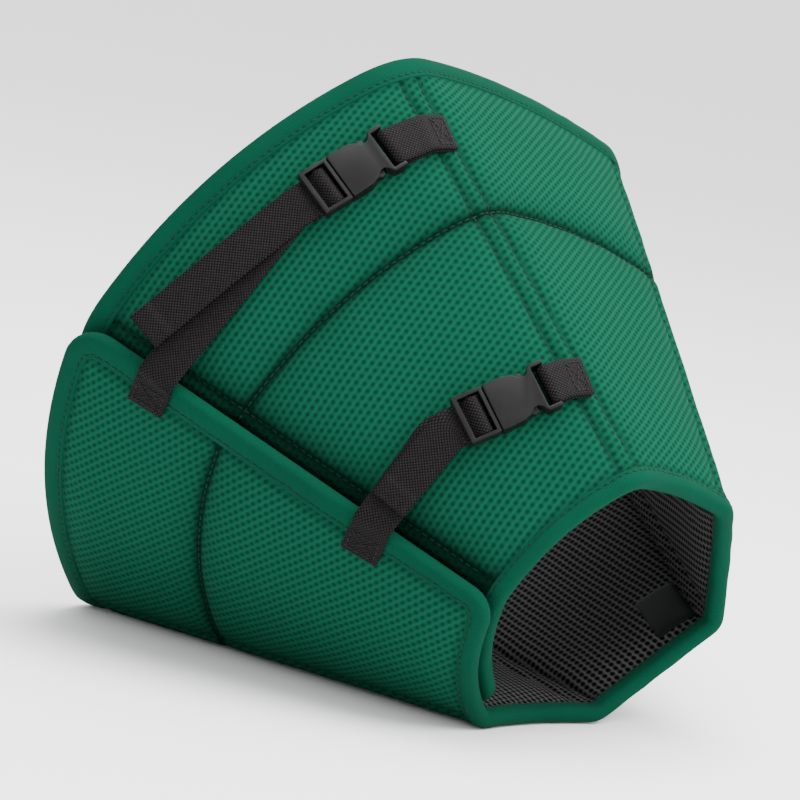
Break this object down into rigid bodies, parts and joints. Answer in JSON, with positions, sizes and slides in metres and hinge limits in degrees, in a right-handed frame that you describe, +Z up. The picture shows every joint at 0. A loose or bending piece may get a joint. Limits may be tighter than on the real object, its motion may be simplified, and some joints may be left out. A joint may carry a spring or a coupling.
{
  "type": "elizabethan collar",
  "caption": "Soft padded pet recovery collar: a quilted sheet rolled into a six-sided cone, lined, bound with tape and fastened by webbing straps with side-release buckles.",
  "frame": {"origin": "middle of the bounding box's base, on the floor that the collar lies on", "axes": "+X along the floor panel from the wide rim to the neck, +Y across the floor panel away from the flap and buckles, +Z up"},
  "size_m": [0.2282, 0.2998, 0.2352],
  "materials": {
    "outer_mesh": "matte air mesh, green",
    "lining_mesh": "matte mesh, near black",
    "binding_tape": "smooth folded tape, dark green",
    "webbing": "woven webbing, black",
    "buckle_plastic": "matte moulded, dark grey",
    "label": "plain sewn patch, black green"
  },
  "bodies": {
    "root": {"outer_cover": "outer_mesh", "lining": "lining_mesh", "edge_binding": "binding_tape", "upper_strap": "webbing", "lower_strap": "webbing", "upper_anchor_web": "webbing", "lower_anchor_web": "webbing", "upper_buckle_socket": "buckle_plastic", "upper_buckle_plug": "buckle_plastic", "lower_buckle_socket": "buckle_plastic", "lower_buckle_plug": "buckle_plastic", "neck_label": "label"}
  },
  "joints": []
}
